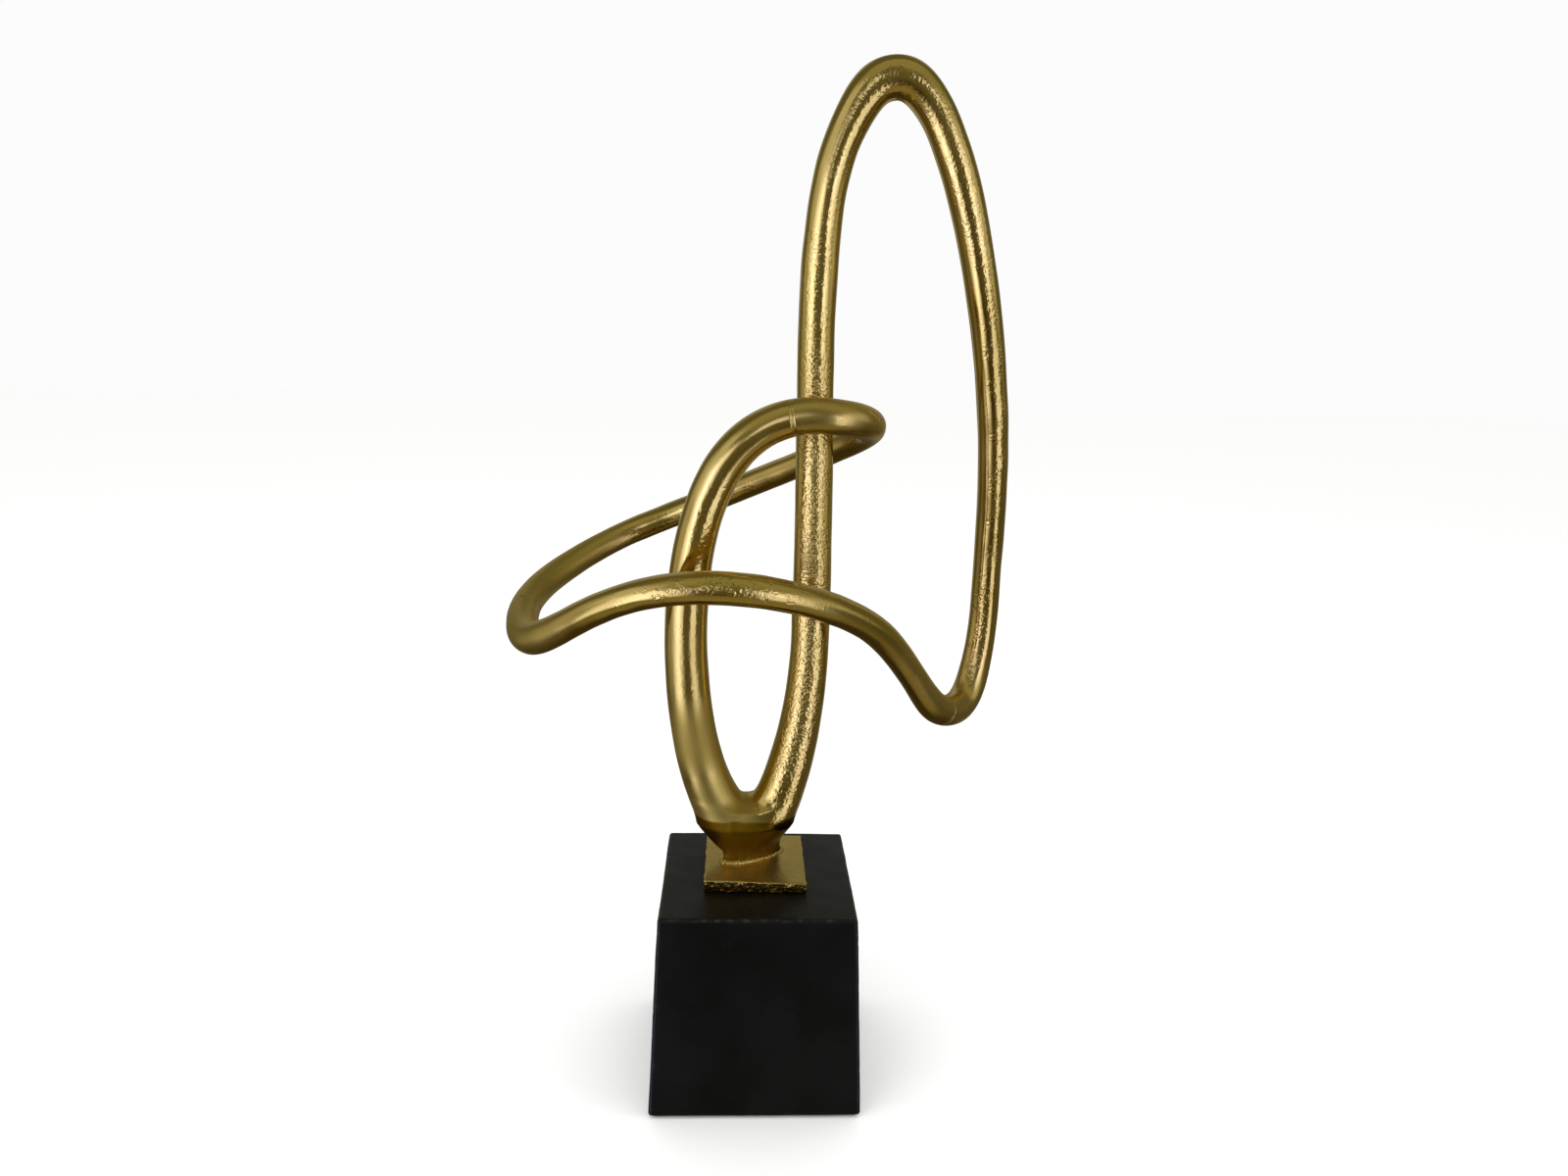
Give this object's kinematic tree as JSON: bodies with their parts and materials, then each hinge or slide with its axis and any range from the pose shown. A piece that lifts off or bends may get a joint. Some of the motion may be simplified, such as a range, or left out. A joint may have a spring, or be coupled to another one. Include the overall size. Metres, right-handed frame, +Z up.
{
  "type": "abstract knot sculpture",
  "caption": "Tabletop sculpture: a closed loop of gold-finished cast tube, looped through itself, on a wedge neck, plate and tapered black plinth.",
  "frame": {"origin": "centre of the plinth's square footprint, on the surface it stands on", "axes": "+Z up along the plinth's axis, +X to the right seen from the front, +Y to the back"},
  "size_m": [0.275, 0.1696, 0.5215],
  "materials": {
    "gold_cast": "gold-coloured cast surface, satin, lightly ground",
    "black_painted_wood": "matte black paint",
    "black_felt": "felt",
    "zinc_steel": "zinc plated"
  },
  "bodies": {
    "root": {"plinth_block": "black_painted_wood", "base_felt": "black_felt", "fixing_bolt": "zinc_steel", "lock_washer": "zinc_steel", "flat_washer": "zinc_steel", "locating_pins": "zinc_steel", "mounting_plate": "gold_cast", "neck_casting": "gold_cast", "plate_fillet_weld": "gold_cast", "leg_root_weld": "gold_cast", "loop_top_weld": "gold_cast", "left_bend_weld": "gold_cast", "right_bend_weld": "gold_cast", "bar_root_weld": "gold_cast", "leg_casting": "gold_cast", "back_loop_casting": "gold_cast", "front_sweep_casting": "gold_cast", "tall_loop_casting": "gold_cast"}
  },
  "joints": []
}
